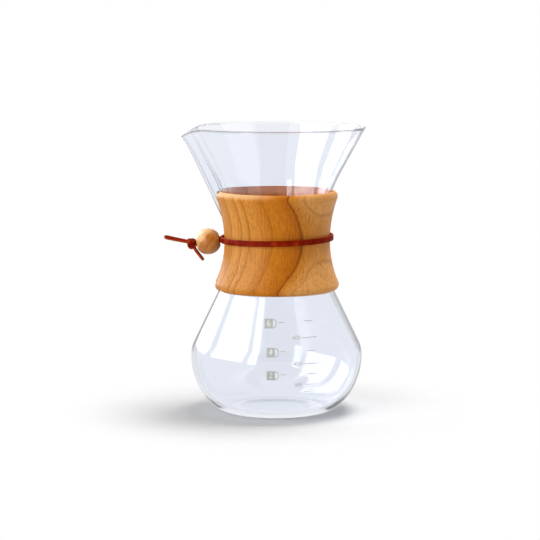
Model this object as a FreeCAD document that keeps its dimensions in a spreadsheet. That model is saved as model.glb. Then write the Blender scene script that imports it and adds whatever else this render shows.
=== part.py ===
import FreeCAD, Part
import math
import os
import Sketcher

# An hourglass pour-over carafe of clear glass. Two wooden collar halves sit on its neck, and a
# leather thong, drawn through a wooden bead and knotted, ties them together.
# Millimetres, +Z up. The origin is on the glass's axis, level with its standing ring.
# The pouring channel and the bead are on the -X side, and -Y is the front.

SIZES = {
    # Glass: bulb, neck and funnel, all outside sizes
    "full_height": 219.0,
    "rim_radius": 68.8,
    "neck_radius": 36.4,
    "neck_height": 132.0,
    "funnel_angle": 28.56,
    "flank_angle": 25.7,
    "bulb_radius": 65.8,
    "bulb_height": 43.5,
    "shoulder_arc": 24.0,
    "belly_arc": 53.6,
    "heel_arc": 24.0,
    "glass_wall": 2.4,
    "stand_ring_width": 6.5,
    "punt_rise": 3.0,
    "punt_edge_round": 4.0,
    "rim_round": 0.7,
    # Glass: pouring channel and beak
    "channel_rise": 5.6,
    "channel_stand": 6.25,
    "channel_least_stand": 0.8,
    "nose_radius_low": 4.0,
    "nose_radius_rim": 9.5,
    "blend_radius_low": 6.0,
    "blend_radius_rim": 50.0,
    "beak_height": 19.0,
    "beak_flare": 5.0,
    "beak_dip_inset": 14.8,
    "beak_dip_arc": 25.0,
    "beak_dip_angle": 30.0,
    # Wooden collar
    "collar_above_neck": 37.7,
    "collar_below_neck": 38.5,
    "collar_waist_drop": 0.5,
    "collar_wall": 4.3,
    "collar_top_wall": 5.2,
    "collar_bottom_wall": 5.8,
    "collar_clearance": 0.3,
    "collar_top_round": 4.0,
    "collar_bottom_round": 4.5,
    "collar_end_round": 0.45,
    "collar_kerf": 1.5,
    "channel_gap": 20.0,
    # Leather thong
    "tie_rise": 1.4,
    "tie_sag_angle": 1.2,
    "thong_width": 4.4,
    "thong_thickness": 2.0,
    "thong_edge_round": 0.7,
    "thong_clearance": 0.35,
    "strand_gap": 0.2,
    "fold_radius": 2.2,
    "strand_slope": 9.0,
    # Bead
    "bead_diameter": 20.0,
    "bead_bore_clearance": 0.65,
    "bead_mouth_flare": 1.4,
    "bead_mouth_depth": 1.4,
    "fold_nest": 0.75,
    "knot_gap": 0.3,
    # Knot and free ends
    "knot_length": 7.6,
    "knot_end_radius": 2.8,
    "knot_middle_radius": 3.7,
    "wrap_width": 3.4,
    "wrap_reach": 4.7,
    "wrap_angle": 26.0,
    "wrap_edge_round": 0.7,
    "long_tail_lift": 1.0,
    "long_tail_root": 3.5,
    "long_tail_rise": 14.0,
    "long_tail_reach": 14.0,
    "short_tail_root_along": 0.7,
    "short_tail_root_below": 2.5,
    "short_tail_clearance": 0.4,
    "short_tail_root": 6.0,
    "short_tail_hang": 32.0,
    "short_tail_reach": 7.5,
    "tail_bend_radius": 12.0,
}

FULL_TURN = 2 * math.pi
# How a sketch numbers an edge's points, and its own axes among its edges
START, END, CENTRE = range(1, 4)
HORIZONTAL_AXIS, VERTICAL_AXIS = range(-1, -3, -1)
ORIGIN_POINT = (HORIZONTAL_AXIS, START)
UP = FreeCAD.Vector(0, 0, 1)
ACROSS = FreeCAD.Vector(0, 1, 0)
OUTWARD = FreeCAD.Vector(-1, 0, 0)
TOUCHING = 0.01

doc = FreeCAD.newDocument("pour_over_carafe")
sheet = doc.addObject("Spreadsheet::Sheet", "sizes")
for row, (alias, number) in enumerate(SIZES.items(), start=1):
    sheet.set(f"A{row}", alias)
    sheet.set(f"B{row}", str(number))
    sheet.setAlias(f"B{row}", alias)
doc.recompute()


def value(expression):
    """The number that an expression on the sheet's sizes comes to."""
    result = sheet.evalExpression(expression)
    return float(getattr(result, "Value", result))


def size(alias):
    return value(f"sizes.{alias}")


def new_body(name):
    body = doc.addObject("PartDesign::Body", name)
    body.Label = name
    return body


def new_sketch(body, name, role, height=None):
    """A sketch on one of its body's origin planes, raised to a height where one is given."""
    sketch = body.newObject("Sketcher::SketchObject", name)
    plane = next(f for f in body.Origin.OriginFeatures if f.Role == role)
    sketch.AttachmentSupport = [(plane, "")]
    sketch.MapMode = "FlatFace"
    if height is not None:
        sketch.setExpression("AttachmentOffset.Base.z", height)
    return sketch


def bound(sketch, name, kind, places, expression):
    """A dimension of a sketch that follows an expression on the sheet's sizes."""
    index = sketch.addConstraint(Sketcher.Constraint(kind, *places, value(expression)))
    sketch.renameConstraint(index, name)
    sketch.setExpression(f"Constraints.{name}", expression)


def tied(sketch, kind, *places):
    sketch.addConstraint(Sketcher.Constraint(kind, *places))


def arc(sketch, centre, radius, start, end):
    circle = Part.Circle(FreeCAD.Vector(*centre, 0), UP, radius)
    return sketch.addGeometry(Part.ArcOfCircle(circle, start, end))


def line(sketch, start, end):
    return sketch.addGeometry(Part.LineSegment(FreeCAD.Vector(*start, 0), FreeCAD.Vector(*end, 0)))


# Glass: formulas on the sheet's sizes. A straight flank and a straight funnel each run into the waist
# in one hollow arc.

FUNNEL = "(sizes.funnel_angle * 1deg)"
FLANK = "(sizes.flank_angle * 1deg)"
FUNNEL_RISE = "(sizes.full_height - sizes.neck_height)"
UPPER_NECK_ARC = (
    f"(({FUNNEL_RISE} * sin({FUNNEL}) - (sizes.rim_radius - sizes.neck_radius) * cos({FUNNEL}))"
    f" / (1 - cos({FUNNEL})))"
)
LOWER_NECK_ARC = (
    f"(((sizes.neck_height - sizes.bulb_height) * sin({FLANK})"
    f" + (sizes.neck_radius - sizes.bulb_radius + sizes.shoulder_arc) * cos({FLANK})"
    f" - sizes.shoulder_arc) / (1 - cos({FLANK})))"
)
BELLY_X = "(sizes.bulb_radius - sizes.belly_arc)"
HEEL_X = (
    f"({BELLY_X} + sqrt((sizes.belly_arc - sizes.heel_arc) ^ 2"
    f" - (sizes.bulb_height - sizes.heel_arc) ^ 2))"
)
PUNT_RADIUS = f"({HEEL_X} - sizes.stand_ring_width)"
PUNT_ARC = f"(({PUNT_RADIUS} ^ 2 + sizes.punt_rise ^ 2) / (2 * sizes.punt_rise))"
CHANNEL_START = "(sizes.neck_height + sizes.channel_rise)"
BEAK_START = "(sizes.full_height - sizes.beak_height)"
BEAK_DIP_START = "(sizes.rim_radius - sizes.beak_dip_inset)"


def wall_radius(height, inset):
    """The glass's radius at a height near the neck, an inset further in than the outside."""
    rise = f"({height} - sizes.neck_height)"
    neck_arc, slope = UPPER_NECK_ARC, FUNNEL
    if value(rise) < 0:
        rise = f"(sizes.neck_height - {height})"
        neck_arc, slope = LOWER_NECK_ARC, FLANK
    bend = f"({neck_arc} + {inset})"
    centre = f"(sizes.neck_radius + {neck_arc})"
    if value(rise) < value(f"{bend} * sin({slope})"):
        return f"({centre} - sqrt({bend} ^ 2 - {rise} ^ 2))"
    straight = f"({rise} - {bend} * sin({slope})) * tan({slope})"
    return f"({centre} - {bend} * cos({slope}) + {straight})"


# The loft's sections, as shares of the way from the channel's start to the rim. The last is above it.
SECTION_SHARES = (0.03, 0.155, 0.285, 0.435, 0.595, 0.745, 0.895, 1.065)


def channel_height(share):
    return f"({CHANNEL_START} + {share} * (sizes.full_height - {CHANNEL_START}))"


def channel_reach(height, share):
    """The channel's ridge: straight, always proud of the wall, and flared outward at the beak."""
    at_rim = "(sizes.rim_radius + sizes.channel_stand)"
    straight = f"(sizes.neck_radius + {share} * ({at_rim} - sizes.neck_radius))"
    ridge = f"max({straight}; {wall_radius(height, 0)} + sizes.channel_least_stand)"
    if value(height) <= value(BEAK_START):
        return f"({ridge})"
    flare = f"sizes.beak_flare * (({height} - {BEAK_START}) / sizes.beak_height) ^ 2"
    return f"({ridge} + {flare})"


def waist_section(body, name, inset):
    """The round section at the waist, parted where the channel's arcs begin higher up."""
    sketch = new_sketch(body, name, "XY_Plane", "sizes.neck_height")
    radius_inside = f"sizes.neck_radius - {inset}"
    nose_half = "0.8 * sizes.nose_radius_low"
    blend_half = "sizes.nose_radius_low + 0.6 * sizes.blend_radius_low"
    radius = value(radius_inside)
    nose_angle = math.pi - math.asin(value(nose_half) / radius)
    blend_angle = math.pi - math.asin(value(blend_half) / radius)
    around = arc(sketch, (0, 0), radius, -blend_angle, blend_angle)
    blend_back = arc(sketch, (0, 0), radius, blend_angle, nose_angle)
    nose = arc(sketch, (0, 0), radius, nose_angle, FULL_TURN - nose_angle)
    blend_front = arc(sketch, (0, 0), radius, FULL_TURN - nose_angle, FULL_TURN - blend_angle)
    tied(sketch, "Coincident", around, CENTRE, *ORIGIN_POINT)
    tied(sketch, "Tangent", around, END, blend_back, START)
    tied(sketch, "Tangent", blend_back, END, nose, START)
    tied(sketch, "Tangent", nose, END, blend_front, START)
    tied(sketch, "Coincident", blend_front, END, around, START)
    tied(sketch, "Equal", around, blend_back)
    tied(sketch, "Equal", around, nose)
    tied(sketch, "Vertical", around, START, around, END)
    tied(sketch, "Vertical", nose, START, nose, END)
    bound(sketch, "radius", "Radius", (around,), radius_inside)
    bound(sketch, "blend_half", "DistanceY", (*ORIGIN_POINT, around, END), blend_half)
    bound(sketch, "nose_half", "DistanceY", (*ORIGIN_POINT, nose, START), nose_half)
    return sketch


def channel_section(body, name, share, inset):
    """A level section of the funnel: its round wall, two hollow blends and the channel's nose."""
    height = channel_height(share)
    sketch = new_sketch(body, name, "XY_Plane", height)
    nose_outside = f"(sizes.nose_radius_low + (sizes.nose_radius_rim - sizes.nose_radius_low) * {share})"
    nose_centre = f"({channel_reach(height, share)} - {nose_outside})"
    round_wall = wall_radius(height, inset)
    nose_radius = f"({nose_outside} - {inset})"
    blend_radius = (
        f"(sizes.blend_radius_low + (sizes.blend_radius_rim - sizes.blend_radius_low)"
        f" * {share} ^ 3 + {inset})"
    )
    wall, nose, blend, reach = (
        value(e) for e in (round_wall, nose_radius, blend_radius, nose_centre)
    )
    to_blend = wall + blend
    nose_to_blend = nose + blend
    wall_angle = math.acos((to_blend**2 + reach**2 - nose_to_blend**2) / (2 * to_blend * reach))
    blend_x = -to_blend * math.cos(wall_angle)
    blend_y = to_blend * math.sin(wall_angle)
    nose_angle = math.atan2(blend_y, blend_x + reach)
    front, back = -1, 1
    around = arc(sketch, (0, 0), wall, wall_angle - math.pi, math.pi - wall_angle)
    blend_back = arc(sketch, (blend_x, back * blend_y), blend, nose_angle - math.pi, -wall_angle)
    nose_arc = arc(sketch, (-reach, 0), nose, nose_angle, FULL_TURN - nose_angle)
    blend_front = arc(sketch, (blend_x, front * blend_y), blend, wall_angle, math.pi - nose_angle)
    tied(sketch, "Tangent", around, END, blend_back, END)
    tied(sketch, "Tangent", blend_back, START, nose_arc, START)
    tied(sketch, "Tangent", nose_arc, END, blend_front, END)
    tied(sketch, "Tangent", blend_front, START, around, START)
    tied(sketch, "Coincident", around, CENTRE, *ORIGIN_POINT)
    tied(sketch, "PointOnObject", nose_arc, CENTRE, HORIZONTAL_AXIS)
    tied(sketch, "Equal", blend_back, blend_front)
    bound(sketch, "wall_radius", "Radius", (around,), round_wall)
    bound(sketch, "nose_radius", "Radius", (nose_arc,), nose_radius)
    bound(sketch, "blend_radius", "Radius", (blend_back,), blend_radius)
    bound(sketch, "nose_centre", "DistanceX", (nose_arc, CENTRE, *ORIGIN_POINT), nose_centre)
    return sketch


def bulb_profile(body, name, inset):
    """Half the section of the glass below its waist, closed along the axis."""
    sketch = new_sketch(body, name, "XZ_Plane")
    inward = value(inset)
    punt = value(PUNT_ARC)
    punt_centre = size("punt_rise") - punt
    floor_start = math.sqrt((punt + inward) ** 2 - (inward - punt_centre) ** 2)
    belly_x, heel_x = value(BELLY_X), value(HEEL_X)
    shoulder_x = size("bulb_radius") - size("shoulder_arc")
    equator, heel, waist = size("bulb_height"), size("heel_arc"), size("neck_height")
    heel_angle = math.atan2(heel - equator, heel_x - belly_x)
    slope = math.radians(size("flank_angle"))
    neck_arc = value(LOWER_NECK_ARC)
    neck_x = size("neck_radius") + neck_arc
    shoulder = size("shoulder_arc") - inward
    neck = neck_arc + inward
    neck_inside = size("neck_radius") - inward
    leave = (shoulder_x + shoulder * math.cos(slope), equator + shoulder * math.sin(slope))
    meet = (neck_x - neck * math.cos(slope), waist - neck * math.sin(slope))

    floor_angle = math.atan2(inward - punt_centre, floor_start)
    punt_edge = arc(sketch, (0, punt_centre), punt + inward, floor_angle, math.pi / 2)
    ring = line(sketch, (floor_start, inward), (heel_x, inward))
    heel_edge = arc(sketch, (heel_x, heel), heel - inward, -math.pi / 2, heel_angle)
    belly_edge = arc(sketch, (belly_x, equator), size("belly_arc") - inward, heel_angle, 0)
    shoulder_edge = arc(sketch, (shoulder_x, equator), shoulder, 0, slope)
    flank = line(sketch, leave, meet)
    neck_edge = arc(sketch, (neck_x, waist), neck, math.pi, math.pi + slope)
    top = line(sketch, (neck_inside, waist), (0, waist))
    axis = line(sketch, (0, waist), (0, size("punt_rise") + inward))

    tied(sketch, "Coincident", punt_edge, START, ring, START)
    tied(sketch, "PointOnObject", punt_edge, END, VERTICAL_AXIS)
    tied(sketch, "PointOnObject", punt_edge, CENTRE, VERTICAL_AXIS)
    tied(sketch, "Horizontal", ring)
    tied(sketch, "Tangent", ring, END, heel_edge, START)
    tied(sketch, "Tangent", heel_edge, END, belly_edge, START)
    tied(sketch, "Tangent", belly_edge, END, shoulder_edge, START)
    tied(sketch, "Tangent", shoulder_edge, END, flank, START)
    tied(sketch, "Tangent", flank, END, neck_edge, END)
    tied(sketch, "Coincident", neck_edge, START, top, START)
    tied(sketch, "Horizontal", top)
    tied(sketch, "PointOnObject", top, END, VERTICAL_AXIS)
    tied(sketch, "Coincident", top, END, axis, START)
    tied(sketch, "Coincident", axis, END, punt_edge, END)
    if inward:
        bound(sketch, "floor", "DistanceY", (*ORIGIN_POINT, ring, START), inset)
    else:
        tied(sketch, "PointOnObject", ring, START, HORIZONTAL_AXIS)
    neck_centre = f"sizes.neck_radius + {LOWER_NECK_ARC}"
    punt_depth = f"{PUNT_ARC} - sizes.punt_rise"
    for name, kind, place, expression in (
        ("punt_arc", "Radius", (punt_edge,), f"{PUNT_ARC} + {inset}"),
        ("punt_depth", "DistanceY", (punt_edge, CENTRE, *ORIGIN_POINT), punt_depth),
        ("heel_arc", "Radius", (heel_edge,), f"sizes.heel_arc - {inset}"),
        ("belly_arc", "Radius", (belly_edge,), f"sizes.belly_arc - {inset}"),
        ("belly_centre", "DistanceX", (*ORIGIN_POINT, belly_edge, CENTRE), BELLY_X),
        ("belly_height", "DistanceY", (*ORIGIN_POINT, belly_edge, CENTRE), "sizes.bulb_height"),
        ("shoulder_arc", "Radius", (shoulder_edge,), f"sizes.shoulder_arc - {inset}"),
        ("shoulder_height", "DistanceY", (*ORIGIN_POINT, shoulder_edge, CENTRE), "sizes.bulb_height"),
        ("neck_arc", "Radius", (neck_edge,), f"{LOWER_NECK_ARC} + {inset}"),
        ("neck_centre", "DistanceX", (*ORIGIN_POINT, neck_edge, CENTRE), neck_centre),
        ("neck_height", "DistanceY", (*ORIGIN_POINT, neck_edge, CENTRE), "sizes.neck_height"),
        ("top_height", "DistanceY", (*ORIGIN_POINT, top, END), "sizes.neck_height"),
    ):
        bound(sketch, name, kind, place, expression)
    return sketch


def revolved(body, kind, name, sketch, angle=360):
    """A Revolution or Groove of a sketch about its vertical axis."""
    feature = body.newObject(f"PartDesign::{kind}", name)
    feature.Profile = sketch
    feature.ReferenceAxis = (sketch, ["V_Axis"])
    feature.Angle = angle
    return feature


def lofted(body, kind, name, inset):
    """The funnel with its pouring channel, as a loft from the waist to above the rim."""
    sections = []
    for count, share in enumerate(SECTION_SHARES, start=1):
        sections.append(channel_section(body, f"{name}_section_{count}", share, inset))
    feature = body.newObject(f"PartDesign::{kind}", name)
    feature.Profile = waist_section(body, f"{name}_waist", inset)
    feature.Sections = sections
    return feature


def rim_cut_profile(body):
    """What is trimmed off above the rim: level, then dipping down towards the beak's tip."""
    sketch = new_sketch(body, "rim_cut_profile", "XZ_Plane")
    rim = size("full_height")
    dip_x = -value(BEAK_DIP_START)
    bend = size("beak_dip_arc")
    dip = math.radians(size("beak_dip_angle"))
    far = 2 * size("rim_radius")
    above = 1.5 * rim
    bend_end = (dip_x - bend * math.sin(dip), rim - bend * (1 - math.cos(dip)))
    low_end = (-far, bend_end[1] + (bend_end[0] + far) * -math.tan(dip))
    level = line(sketch, (far, rim), (dip_x, rim))
    bent = arc(sketch, (dip_x, rim - bend), bend, math.pi / 2, math.pi / 2 + dip)
    dipped = line(sketch, bend_end, low_end)
    left = line(sketch, low_end, (-far, above))
    over = line(sketch, (-far, above), (far, above))
    right = line(sketch, (far, above), (far, rim))
    tied(sketch, "Horizontal", level)
    tied(sketch, "Tangent", level, END, bent, START)
    tied(sketch, "Tangent", bent, END, dipped, START)
    tied(sketch, "Coincident", dipped, END, left, START)
    tied(sketch, "Vertical", left)
    tied(sketch, "Coincident", left, END, over, START)
    tied(sketch, "Horizontal", over)
    tied(sketch, "Coincident", over, END, right, START)
    tied(sketch, "Coincident", right, END, level, START)
    tied(sketch, "Vertical", right)
    bound(sketch, "rim", "DistanceY", (*ORIGIN_POINT, level, START), "sizes.full_height")
    bound(sketch, "dip_start", "DistanceX", (level, END, *ORIGIN_POINT), BEAK_DIP_START)
    bound(sketch, "dip_arc", "Radius", (bent,), "sizes.beak_dip_arc")
    bound(sketch, "dip_angle", "Angle", (bent,), "sizes.beak_dip_angle * 1deg")
    bound(sketch, "right_side", "DistanceX", (*ORIGIN_POINT, right, START), "2 * sizes.rim_radius")
    bound(sketch, "left_side", "DistanceX", (left, END, *ORIGIN_POINT), "2 * sizes.rim_radius")
    bound(sketch, "above", "DistanceY", (*ORIGIN_POINT, over, START), "1.5 * sizes.full_height")
    return sketch


def rim_height(x):
    """The height of the rim's cut at a place along X."""
    rim, bend, dip = size("full_height"), size("beak_dip_arc"), math.radians(size("beak_dip_angle"))
    past = -x - value(BEAK_DIP_START)
    if past <= 0:
        return rim
    if past <= bend * math.sin(dip):
        return rim - bend + math.sqrt(bend**2 - past**2)
    return rim - bend * (1 - math.cos(dip)) - (past - bend * math.sin(dip)) * math.tan(dip)


def edge_points(edge):
    first, last = edge.ParameterRange
    return [edge.valueAt(first + share * (last - first)) for share in (0, 0.5, 1)]


def edge_names(shape, wanted):
    return [f"Edge{count}" for count, edge in enumerate(shape.Edges, start=1) if wanted(edge)]


def is_rim_edge(edge):
    on_cut = all(abs(p.z - rim_height(p.x)) < TOUCHING for p in edge_points(edge))
    return on_cut and not isinstance(edge.Curve, Part.Line)


def is_punt_edge(edge):
    """The two rings where the punt's dome meets the level standing ring and the level floor."""
    points = edge_points(edge)
    level = max(p.z for p in points) - min(p.z for p in points) < TOUCHING
    low = points[0].z < size("glass_wall") + TOUCHING
    return level and low and math.hypot(points[0].x, points[0].y) < value(PUNT_RADIUS) + TOUCHING


def eased(body, name, edges, radius):
    """A rounding of the named edges of what the body has so far."""
    base = body.Tip
    feature = body.newObject("PartDesign::Fillet", name)
    feature.Base = (base, edges)
    feature.setExpression("Radius", radius)
    doc.recompute()
    return feature


def pocketed(body, name, sketch):
    """Cuts a sketch right through the body, both ways."""
    feature = body.newObject("PartDesign::Pocket", name)
    feature.Profile = sketch
    feature.Type = "ThroughAll"
    feature.SideType = "Symmetric"
    doc.recompute()
    return feature


def make_glass():
    body = new_body("glass_carafe")
    revolved(body, "Revolution", "bulb", bulb_profile(body, "bulb_outside", "0"))
    lofted(body, "AdditiveLoft", "funnel", "0")
    revolved(body, "Groove", "bulb_hollow", bulb_profile(body, "bulb_inside", "sizes.glass_wall"))
    lofted(body, "SubtractiveLoft", "funnel_hollow", "sizes.glass_wall")
    doc.recompute()
    pocketed(body, "rim_cut", rim_cut_profile(body))
    rim_round = "min(sizes.rim_round; 0.36 * sizes.glass_wall)"
    eased(body, "rim_rounding", edge_names(body.Shape, is_rim_edge), rim_round)
    punt_edges = edge_names(body.Shape, is_punt_edge)
    eased(body, "punt_rounding", punt_edges, "sizes.punt_edge_round")
    return body


# Wooden collar, bored to the glass's own profile with a clearance

COLLAR_TOP = "(sizes.neck_height + sizes.collar_above_neck)"
COLLAR_BOTTOM = "(sizes.neck_height - sizes.collar_below_neck)"
COLLAR_WAIST_HEIGHT = "(sizes.neck_height - sizes.collar_waist_drop)"
COLLAR_WAIST_RADIUS = "(sizes.neck_radius + sizes.collar_clearance + sizes.collar_wall)"
BORE_INSET = "(-sizes.collar_clearance)"


def funnel_profile(body, name, inset):
    """Half the section of the funnel without its channel, from the waist to the rim."""
    sketch = new_sketch(body, name, "XZ_Plane")
    slope = math.radians(size("funnel_angle"))
    waist, rim = size("neck_height"), size("full_height")
    neck_arc = value(UPPER_NECK_ARC)
    centre_x, bend = size("neck_radius") + neck_arc, neck_arc + value(inset)
    foot = (centre_x - bend * math.cos(slope), waist + bend * math.sin(slope))
    rim_x = foot[0] + (rim - foot[1]) * math.tan(slope)
    neck_edge = arc(sketch, (centre_x, waist), bend, math.pi - slope, math.pi)
    cone = line(sketch, foot, (rim_x, rim))
    top = line(sketch, (rim_x, rim), (0, rim))
    axis = line(sketch, (0, rim), (0, waist))
    floor = line(sketch, (0, waist), (centre_x - bend, waist))
    tied(sketch, "Tangent", neck_edge, START, cone, START)
    tied(sketch, "Coincident", cone, END, top, START)
    tied(sketch, "Horizontal", top)
    tied(sketch, "PointOnObject", top, END, VERTICAL_AXIS)
    tied(sketch, "Coincident", top, END, axis, START)
    tied(sketch, "Vertical", axis)
    tied(sketch, "Coincident", axis, END, floor, START)
    tied(sketch, "Horizontal", floor)
    tied(sketch, "Coincident", floor, END, neck_edge, END)
    neck_centre = f"sizes.neck_radius + {UPPER_NECK_ARC}"
    for name, kind, place, expression in (
        ("neck_arc", "Radius", (neck_edge,), f"{UPPER_NECK_ARC} + {inset}"),
        ("neck_centre", "DistanceX", (*ORIGIN_POINT, neck_edge, CENTRE), neck_centre),
        ("neck_height", "DistanceY", (*ORIGIN_POINT, neck_edge, CENTRE), "sizes.neck_height"),
        ("floor_height", "DistanceY", (*ORIGIN_POINT, floor, START), "sizes.neck_height"),
        ("rim_height", "DistanceY", (*ORIGIN_POINT, top, START), "sizes.full_height"),
        ("slope", "Angle", (cone,), f"90deg - {FUNNEL}"),
    ):
        bound(sketch, name, kind, place, expression)
    return sketch


def collar_lip(height, wall):
    """The collar's outer radius at its top or bottom, before that lip is rounded."""
    return f"({wall_radius(height, BORE_INSET)} + {wall})"


def collar_arc(height, wall):
    """The radius of a hollow arc that leaves the collar's waist upright and ends at a lip."""
    spread = f"({collar_lip(height, wall)} - {COLLAR_WAIST_RADIUS})"
    return f"(({spread} ^ 2 + ({height} - {COLLAR_WAIST_HEIGHT}) ^ 2) / (2 * {spread}))"


def collar_profile(body):
    """The collar as a solid: two hollow arcs that meet at its waist, closed along the axis."""
    sketch = new_sketch(body, "collar_profile", "XZ_Plane")
    upper_arc = collar_arc(COLLAR_TOP, "sizes.collar_top_wall")
    lower_arc = collar_arc(COLLAR_BOTTOM, "sizes.collar_bottom_wall")
    upper, lower = value(upper_arc), value(lower_arc)
    waist_x, waist = value(COLLAR_WAIST_RADIUS), value(COLLAR_WAIST_HEIGHT)
    top_x, top = value(collar_lip(COLLAR_TOP, "sizes.collar_top_wall")), value(COLLAR_TOP)
    bottom_x = value(collar_lip(COLLAR_BOTTOM, "sizes.collar_bottom_wall"))
    bottom = value(COLLAR_BOTTOM)
    upper_angle = math.pi - math.asin((top - waist) / upper)
    lower_angle = math.pi + math.asin((waist - bottom) / lower)
    upper_edge = arc(sketch, (waist_x + upper, waist), upper, upper_angle, math.pi)
    lower_edge = arc(sketch, (waist_x + lower, waist), lower, math.pi, lower_angle)
    bottom_line = line(sketch, (bottom_x, bottom), (0, bottom))
    axis = line(sketch, (0, bottom), (0, top))
    top_line = line(sketch, (0, top), (top_x, top))
    tied(sketch, "Tangent", upper_edge, END, lower_edge, START)
    tied(sketch, "Coincident", lower_edge, END, bottom_line, START)
    tied(sketch, "Horizontal", bottom_line)
    tied(sketch, "PointOnObject", bottom_line, END, VERTICAL_AXIS)
    tied(sketch, "Coincident", bottom_line, END, axis, START)
    tied(sketch, "Vertical", axis)
    tied(sketch, "Coincident", axis, END, top_line, START)
    tied(sketch, "Horizontal", top_line)
    tied(sketch, "Coincident", top_line, END, upper_edge, START)
    upper_centre = f"{COLLAR_WAIST_RADIUS} + {upper_arc}"
    for name, kind, place, expression in (
        ("upper_arc", "Radius", (upper_edge,), upper_arc),
        ("upper_centre", "DistanceX", (*ORIGIN_POINT, upper_edge, CENTRE), upper_centre),
        ("upper_height", "DistanceY", (*ORIGIN_POINT, upper_edge, CENTRE), COLLAR_WAIST_HEIGHT),
        ("lower_arc", "Radius", (lower_edge,), lower_arc),
        ("lower_height", "DistanceY", (*ORIGIN_POINT, lower_edge, CENTRE), COLLAR_WAIST_HEIGHT),
        ("top", "DistanceY", (*ORIGIN_POINT, top_line, START), COLLAR_TOP),
        ("bottom", "DistanceY", (*ORIGIN_POINT, bottom_line, START), COLLAR_BOTTOM),
    ):
        bound(sketch, name, kind, place, expression)
    return sketch


def parting_profile(body, side):
    """What parts the two halves: a narrow kerf at +X, and room for the pouring channel at -X."""
    sketch = new_sketch(body, "parting_profile", "XY_Plane")
    beyond = f"2 * {COLLAR_WAIST_RADIUS}"
    far = value(beyond)
    kerf, gap = size("collar_kerf") / 2, size("channel_gap") / 2
    kerf_y, gap_y = side * kerf, side * gap
    corners = [(-far, 0), (far, 0), (far, kerf_y), (0, kerf_y), (0, gap_y), (-far, gap_y)]
    lines = [line(sketch, a, b) for a, b in zip(corners, corners[1:] + corners[:1])]
    middle, right, kerf_line, step, gap_line, left = lines
    for one, following in zip(lines, lines[1:] + lines[:1]):
        tied(sketch, "Coincident", one, END, following, START)
    for level in (kerf_line, gap_line):
        tied(sketch, "Horizontal", level)
    for upright in (right, step, left):
        tied(sketch, "Vertical", upright)
    tied(sketch, "PointOnObject", middle, START, HORIZONTAL_AXIS)
    tied(sketch, "PointOnObject", middle, END, HORIZONTAL_AXIS)
    tied(sketch, "PointOnObject", step, START, VERTICAL_AXIS)
    from_axis = {
        -1: lambda edge: (edge, END, *ORIGIN_POINT),
        1: lambda edge: (*ORIGIN_POINT, edge, END),
    }[side]
    bound(sketch, "kerf", "DistanceY", from_axis(kerf_line), "sizes.collar_kerf / 2")
    bound(sketch, "gap", "DistanceY", from_axis(gap_line), "sizes.channel_gap / 2")
    bound(sketch, "right_side", "DistanceX", (*ORIGIN_POINT, middle, END), beyond)
    bound(sketch, "left_side", "DistanceX", (middle, START, *ORIGIN_POINT), beyond)
    return sketch


def is_collar_lip(height):
    """The outer round edge of the collar's solid at its top or bottom."""

    def wanted(edge):
        points = edge_points(edge)
        level = all(abs(p.z - height) < TOUCHING for p in points)
        return level and all(math.hypot(p.x, p.y) > size("neck_radius") for p in points)

    return wanted


def is_collar_end(side):
    """The edges of the sawn ends, apart from those at the bore."""

    def wanted(edge):
        points = edge_points(edge)
        ys = [side * p.y for p in points]
        flat = max(ys) - min(ys) < TOUCHING
        on_kerf = abs(ys[0] - size("collar_kerf") / 2) < TOUCHING
        on_gap = abs(ys[0] - size("channel_gap") / 2) < TOUCHING
        bore = value(f"{wall_radius(f'({points[1].z})', BORE_INSET)} + sizes.collar_end_round")
        return flat and (on_kerf or on_gap) and math.hypot(points[1].x, points[1].y) > bore

    return wanted


def make_collar_half(name, side):
    body = new_body(name)
    half = revolved(body, "Revolution", "turned_half", collar_profile(body), 180)
    half.Reversed = side < 0
    doc.recompute()
    top_lip = edge_names(body.Shape, is_collar_lip(value(COLLAR_TOP)))
    eased(body, "top_rounding", top_lip, "sizes.collar_top_round")
    bottom_lip = edge_names(body.Shape, is_collar_lip(value(COLLAR_BOTTOM)))
    eased(body, "bottom_rounding", bottom_lip, "sizes.collar_bottom_round")
    revolved(body, "Groove", "lower_bore", bulb_profile(body, "lower_bore_profile", BORE_INSET))
    revolved(body, "Groove", "upper_bore", funnel_profile(body, "upper_bore_profile", BORE_INSET))
    pocketed(body, "parting", parting_profile(body, side))
    end_edges = edge_names(body.Shape, is_collar_end(side))
    eased(body, "end_rounding", end_edges, "sizes.collar_end_round")
    return body


# Bead

BEAD_BORE = (
    "(sqrt((sizes.thong_width / 2 - sizes.thong_edge_round) ^ 2"
    " + (sizes.thong_thickness + sizes.strand_gap / 2 - sizes.thong_edge_round) ^ 2)"
    " + sizes.thong_edge_round + sizes.bead_bore_clearance)"
)
BEAD_MOUTH = f"({BEAD_BORE} + sizes.bead_mouth_flare)"
BEAD_HALF_LENGTH = f"sqrt((sizes.bead_diameter / 2) ^ 2 - {BEAD_MOUTH} ^ 2)"


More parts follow.
